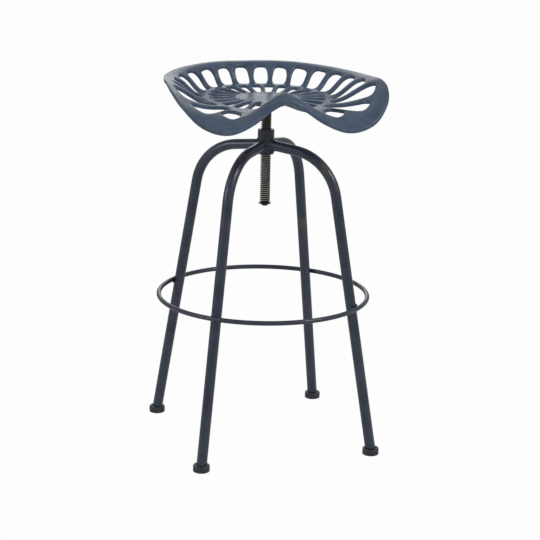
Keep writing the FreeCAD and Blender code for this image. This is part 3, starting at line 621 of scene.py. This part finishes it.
def netPoint(cell, ringIndex):
    # where the net's crossing of one spoke and one ring lies on the sitting surface
    d = seatDims
    side = -1 if cell < 0 else 1
    cell = abs(cell)
    kind, value = ringNames[ringIndex]
    even = frontAngle(cell, sideCells, d["pitch"] * d["outerSlots"]) if cell > sideCells \
        else d["pitch"] * cell / d["perPitch"]
    if kind == "disc":
        radius, angle = float(value), even
    elif kind in ("inner", "band"):
        radius = float(d["innerRings"][value]) if kind == "inner" else float(value)
        angle = spokeAngle(cell, d["innerRib"], radius, False) if cell <= innerCells \
            else frontAngle(cell, innerCells, d["pitch"] * (d["innerSlots"] + 0.5))
        if kind == "band":
            angle = (angle + even) / 2
    else:
        rim = readTrack(rimTrack, even)
        if kind == "outer":
            radius = outerRadius(cell, value, rim)
            angle = spokeAngle(cell, d["outerRib"], radius, True) if cell <= sideCells else even
        else:
            inner = outerRadius(cell, outerLast, rim)
            radius = inner + (rim - inner) * value
            angle = spokeAngle(cell, d["outerRib"], inner, True) if cell <= sideCells else even
            angle = angle + (even - angle) * value
            rim = readTrack(rimTrack, angle)
            radius = inner + (rim - inner) * value
    turn = math.radians(angle)
    return Vector((radius * math.sin(turn) * side, radius * math.cos(turn), 0))


def holeSpot(cell, ring):
    # the thigh hole's rim: the edge of a square block of the net drawn onto an oval, or None off that edge
    d = seatDims
    u, v = (cell - sideCells - d["holeCell"]) / d["holeHalf"], (ring - d["holeRing"]) / d["holeHalf"]
    if max(abs(u), abs(v)) != 1:
        return None
    turn = math.radians(holeAngle)
    outward = Vector((math.sin(turn), math.cos(turn), 0))
    across = Vector((math.cos(turn), -math.sin(turn), 0))
    lead = (across * u + outward * v).normalized()
    return Vector((d["holeSide"] + d["holeWide"] * lead.x, -d["holeFront"] + d["holeLong"] * lead.y, 0))


outerStart = ringNames.index(("outer", 0))
innerStart = ringNames.index(("inner", 0))


def isHoleFace(cell, ring):
    # cell and ring are the face's lower corner in the net, cell counted from the back to either side
    d = seatDims
    count = d["perPitch"]
    low = cell if cell >= 0 else -cell - 1
    row = ring - outerStart
    if 0 <= row < outerLast and low < sideCells and 1 <= low % count < count - 1:
        return True
    across, outward = low + 0.5 - sideCells - d["holeCell"], row + 0.5 - d["holeRing"]
    if abs(across) < d["holeHalf"] and abs(outward) < d["holeHalf"]:
        return True
    shifted = (low + count // 2) % count
    return 0 <= ring - innerStart < innerLast and low < innerCells and 1 <= shifted < count - 1


def roundCorner(cell, ringIndex, point):
    # draw the slots' four corners in, so that their ends come out round
    d = seatDims
    count = d["perPitch"]
    low = abs(cell)
    side = -1 if cell < 0 else 1
    outerFar = d["sideFarRound" if low > sideCells - count else "farRound"]
    slotRows = ((outerStart, outerLast, low % count, sideCells, d["nearRound"], outerFar),
                (innerStart, innerLast, (low + count // 2) % count, innerCells,
                 d["innerNearRound"], d["innerFarRound"]))
    for first, last, local, cells, nearRound, farRound in slotRows:
        row = ringIndex - first
        if row in (0, last) and local in (1, count - 1) and low < cells:
            pull = (nearRound if row == 0 else farRound) * d["cornerPull"]
            outward = 1 if row == 0 else -1
            inward = 1 if local == 1 else -1
            radial = Vector((point.x, point.y, 0)).normalized()
            across = Vector((radial.y, -radial.x, 0)) * side
            return point + radial * outward * pull + across * inward * pull
    return point


def seatPoint(cell, ringIndex):
    # one vertex of the sitting surface, in millimetres
    point = netPoint(cell, ringIndex)
    kind, value = ringNames[ringIndex]
    spot = holeSpot(abs(cell), value) if kind == "outer" else None
    if spot:
        point = Vector((spot.x * (-1 if cell < 0 else 1), spot.y, 0))
    point = roundCorner(cell, ringIndex, point)
    point.z = heightAt(point.x, point.y)
    return point


def heightAt(x, y):
    return seatDims["top"] + seatHeight(math.hypot(x, y), math.degrees(math.atan2(x, y)))


def thicknessAt(x, y):
    # upright thickness of a wall whose true thickness is even
    slopeX = (heightAt(x + 1, y) - heightAt(x - 1, y)) / 2
    slopeY = (heightAt(x, y + 1) - heightAt(x, y - 1)) / 2
    return seatDims["thick"] * math.sqrt(1 + slopeX * slopeX + slopeY * slopeY)


netStep = 0.01      # spacing of the flat net's rings before they are laid on the seat, in metres
spokeCount = 2 * halfCells


def netAddress(place):
    # which spoke and which ring of the flat net a place lies on
    return math.atan2(place.x, place.y) / (2 * math.pi / spokeCount), place.xy.length / netStep - 1


def drawNet():
    # a flat round net: one small circle, extruded outward ring by ring
    deselectAll()
    bpy.ops.mesh.primitive_circle_add(vertices=spokeCount, radius=netStep, fill_type="NGON")
    seat = bpy.context.object
    seat.name = "seatCasting"
    bpy.ops.object.mode_set(mode="EDIT")
    bpy.ops.mesh.select_mode(type="EDGE")
    bpy.ops.mesh.select_all(action="SELECT")
    for i in range(1, len(ringNames)):
        bpy.ops.mesh.extrude_edges_move()
        bpy.ops.transform.resize(value=((i + 1) / i, (i + 1) / i, 1))
    bpy.ops.object.mode_set(mode="OBJECT")
    return seat


def openSlots(seat):
    def isHole(face):
        if len(face.vertices) != 4:
            return False
        cell, ring = netAddress(face.center)
        return isHoleFace(math.floor(cell), math.floor(ring))

    editSelect(seat, "faces", isHole)
    bpy.ops.mesh.delete(type="FACE")
    bpy.ops.object.mode_set(mode="OBJECT")


def layNet(seat):
    # every crossing of the net goes to its place on the sitting surface, then the wall gets its thickness
    for vertex in seat.data.vertices:
        cell, ring = netAddress(vertex.co)
        vertex.co = seatPoint(round(cell), round(ring))
    editSelect(seat, "faces", lambda face: True)
    bpy.ops.mesh.extrude_region_move(TRANSFORM_OT_translate={"value": (0, 0, -seatDims["thick"])})
    bpy.ops.object.mode_set(mode="OBJECT")
    for vertex in seat.data.vertices:
        if vertex.select:
            vertex.co.z = heightAt(vertex.co.x, vertex.co.y) - thicknessAt(vertex.co.x, vertex.co.y)
    seat.scale = (mm, mm, mm)
    settle(seat)
    bpy.ops.object.mode_set(mode="EDIT")
    bpy.ops.mesh.select_all(action="SELECT")
    bpy.ops.mesh.normals_make_consistent(inside=False)
    bpy.ops.object.mode_set(mode="OBJECT")


def roundEdges(seat):
    # the arrises, where upright walls meet the top and the underside, keep some crease when it is subdivided
    upright = 0.02
    walls, skins = set(), set()
    for face in seat.data.polygons:
        (walls if abs(face.normal.z) < upright else skins).update(face.edge_keys)
    arrises = walls & skins
    editSelect(seat, "edges", lambda edge: edge.key in arrises)
    bpy.ops.transform.edge_crease(value=seatDims["edgeCrease"])
    bpy.ops.object.mode_set(mode="OBJECT")
    soften = seat.modifiers.new("soften", "SUBSURF")
    soften.levels = soften.render_levels = 2
    applyModifiers(seat)


def coat(piece, slotName, smoothAngle):
    # one material, and smooth shading up to the given angle
    piece.data.materials.clear()
    piece.data.materials.append(materials[slotName])
    smooth(piece, smoothAngle)


def makeSeat():
    seat = drawNet()
    openSlots(seat)
    layNet(seat)
    roundEdges(seat)
    addBosses(seat)
    coat(seat, "seat_casting", 60)
    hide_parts("seat_pan")
    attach(seat, "seat")
    print("seat casting:", len(seat.data.polygons), "faces")


def addBosses(seat):
    # blind bosses under the disc, rounded at their lower edge
    d = seatDims
    tall = d["top"] - d["thick"] / 2 - d["bossFloor"]
    lowRim = (d["bossFloor"] + 1) * mm
    bosses = []
    for i in range(d["bosses"]):
        turn = 2 * math.pi * i / d["bosses"]
        spot = Vector((math.sin(turn), math.cos(turn), 0)) * d["bossCircle"]
        spot.z = d["bossFloor"] + tall / 2
        deselectAll()
        bpy.ops.mesh.primitive_cylinder_add(vertices=d["bossSides"], radius=d["bossRadius"] * mm,
                                            depth=tall * mm, location=spot * mm)
        boss = bpy.context.object
        settle(boss)
        editSelect(boss, "edges", lambda edge: all(
            boss.data.vertices[v].co.z < lowRim for v in edge.vertices))
        bpy.ops.mesh.bevel(offset=d["bossEdge"] * mm, segments=4)
        bpy.ops.object.mode_set(mode="OBJECT")
        bosses.append(boss)
    makeActive(seat)
    for boss in bosses:
        boss.select_set(True)
    bpy.ops.object.join()


makeSeat()


# Foot caps: plastic cups with rounded edges and a shallow recess round the tube
capDims = {
    "radius": 16.0, "tall": 13.0, "sides": 64, "lowEdge": 1.2, "shoulder": 2.4, "lip": 1.6,
    "recessSlope": 0.5, "recessDeep": 1.6,
}


def makeCap(place):
    d = capDims
    low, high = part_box("foot_cap_" + place)
    spot = (Vector(low) + Vector(high)) / 2
    top, bottom = d["tall"] * mm, 0.0
    deselectAll()
    bpy.ops.mesh.primitive_cylinder_add(vertices=d["sides"], radius=d["radius"] * mm, depth=top,
                                        location=(spot.x, spot.y, top / 2))
    cap = bpy.context.object
    cap.name = "cap_" + place
    settle(cap)

    def rimAt(height):
        return lambda edge: all(abs(cap.data.vertices[v].co.z - height) < 0.1 * mm for v in edge.vertices)

    editSelect(cap, "edges", rimAt(bottom))
    bpy.ops.mesh.bevel(offset=d["lowEdge"] * mm, segments=4)
    bpy.ops.object.mode_set(mode="OBJECT")
    editSelect(cap, "edges", rimAt(top))
    bpy.ops.mesh.bevel(offset=d["shoulder"] * mm, segments=5)
    bpy.ops.object.mode_set(mode="OBJECT")
    editSelect(cap, "faces", lambda face: len(face.vertices) > 4 and face.center.z > top / 2)
    bpy.ops.mesh.inset(thickness=d["lip"] * mm)
    bpy.ops.mesh.inset(thickness=d["recessSlope"] * mm, depth=-d["recessDeep"] * mm)
    bpy.ops.object.mode_set(mode="OBJECT")
    coat(cap, "cap_plastic", 35)
    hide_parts("foot_cap_" + place)
    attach(cap, "stand")


for place in ("front_left", "front_right", "back_right", "back_left"):
    makeCap(place)
print("foot caps ready")
